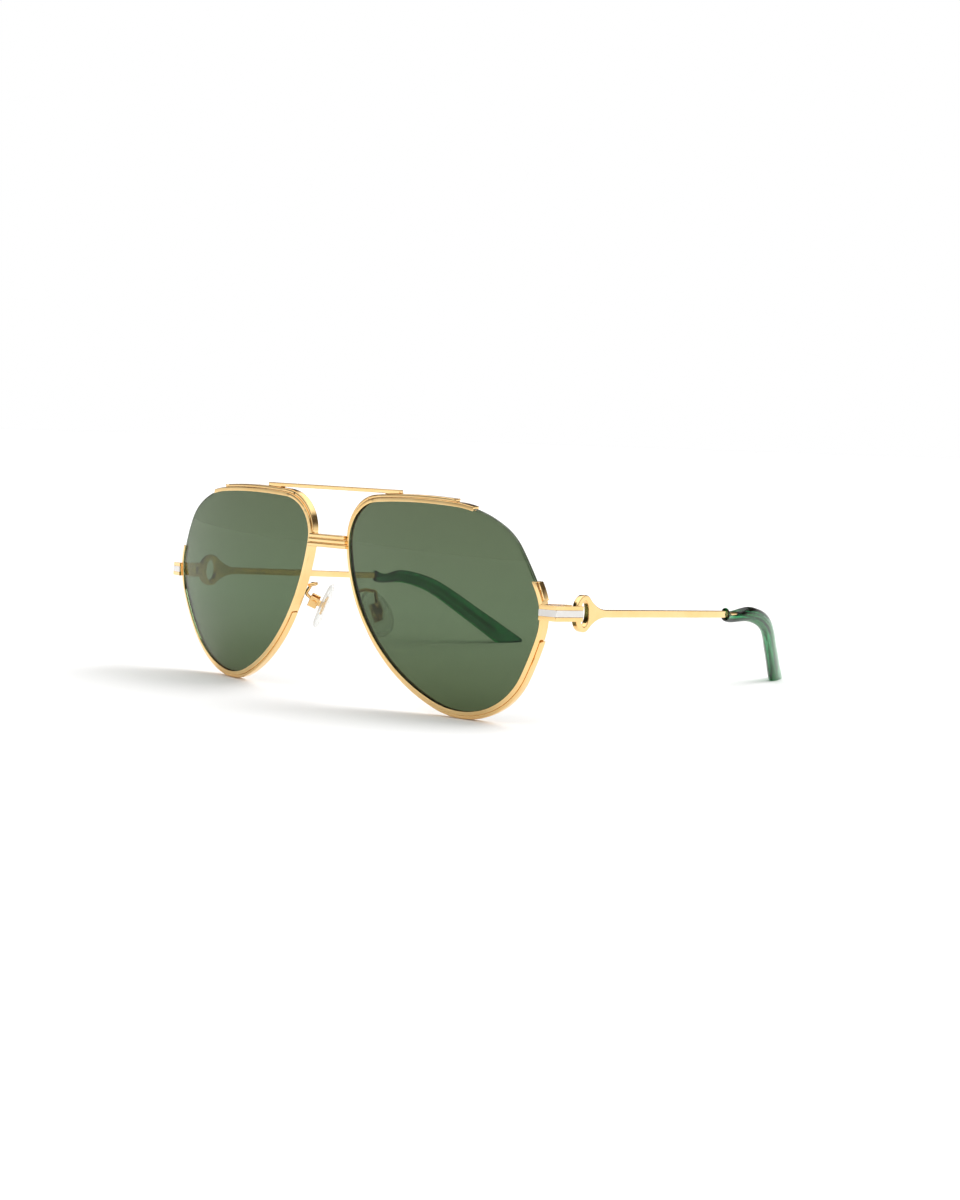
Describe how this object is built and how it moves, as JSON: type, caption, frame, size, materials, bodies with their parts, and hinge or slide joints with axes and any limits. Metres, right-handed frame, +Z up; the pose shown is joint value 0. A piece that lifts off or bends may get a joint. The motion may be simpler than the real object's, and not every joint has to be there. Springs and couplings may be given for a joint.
{
  "type": "aviator sunglasses",
  "caption": "Wire-rimmed aviator sunglasses with green curved lenses, top bar, folding temples with green tips and rocking nose pads.",
  "frame": {"origin": "on the resting surface, under the middle of the overall box with the temples open", "axes": "+X to the wearer's left, lenses face -Y, temples run back along +Y, +Z up"},
  "size_m": [0.1442, 0.139, 0.0555],
  "materials": {
    "polished_gold": "polished",
    "satin_palladium": "satin",
    "green_lens": "polished",
    "green_acetate": "polished",
    "clear_silicone": "satin",
    "clear_nylon": "gloss"
  },
  "bodies": {
    "front": {"bridge": "polished_gold", "brow_bar": "polished_gold", "rim_left": "polished_gold", "brow_trim_left": "polished_gold", "lower_trim_left": "polished_gold", "side_trim_left": "polished_gold", "lens_left": "green_lens", "lens_cord_left": "clear_nylon", "endpiece_left": "polished_gold", "endpiece_inlay_left": "satin_palladium", "hinge_leaf_front_left": "polished_gold", "hinge_screw_left": "polished_gold", "pad_arm_left": "polished_gold", "pad_box_left": "polished_gold", "pad_screw_left": "polished_gold", "rim_right": "polished_gold", "brow_trim_right": "polished_gold", "lower_trim_right": "polished_gold", "side_trim_right": "polished_gold", "lens_right": "green_lens", "lens_cord_right": "clear_nylon", "endpiece_right": "polished_gold", "endpiece_inlay_right": "satin_palladium", "hinge_leaf_front_right": "polished_gold", "hinge_screw_right": "polished_gold", "pad_arm_right": "polished_gold", "pad_box_right": "polished_gold", "pad_screw_right": "polished_gold"},
    "temple_arm_left": {"temple_left": "polished_gold", "hinge_leaf_rear_left": "polished_gold", "temple_tip_left": "green_acetate"},
    "pad_left": {"nose_pad_left": "clear_silicone", "pad_insert_left": "polished_gold"},
    "temple_arm_right": {"temple_right": "polished_gold", "hinge_leaf_rear_right": "polished_gold", "temple_tip_right": "green_acetate"},
    "pad_right": {"nose_pad_right": "clear_silicone", "pad_insert_right": "polished_gold"}
  },
  "joints": [
    {"name": "temple_fold_left", "type": "hinge", "parent": "front", "child": "temple_arm_left", "pos_m": [0.06938, -0.05533, 0.02812], "axis": [-0.0026, 0.0631, 0.998], "range_deg": [0, 82]},
    {"name": "temple_fold_right", "type": "hinge", "parent": "front", "child": "temple_arm_right", "pos_m": [-0.06938, -0.05533, 0.02812], "axis": [-0.0026, -0.0631, -0.998], "range_deg": [0, 74]},
    {"name": "pad_rock_left", "type": "hinge", "parent": "front", "child": "pad_left", "pos_m": [0.01217, -0.06164, 0.02415], "axis": [-0.5124, -0.809, -0.288], "range_deg": [-8, 8]},
    {"name": "pad_rock_right", "type": "hinge", "parent": "front", "child": "pad_right", "pos_m": [-0.01217, -0.06164, 0.02415], "axis": [-0.5124, 0.809, 0.288], "range_deg": [-8, 8]}
  ]
}
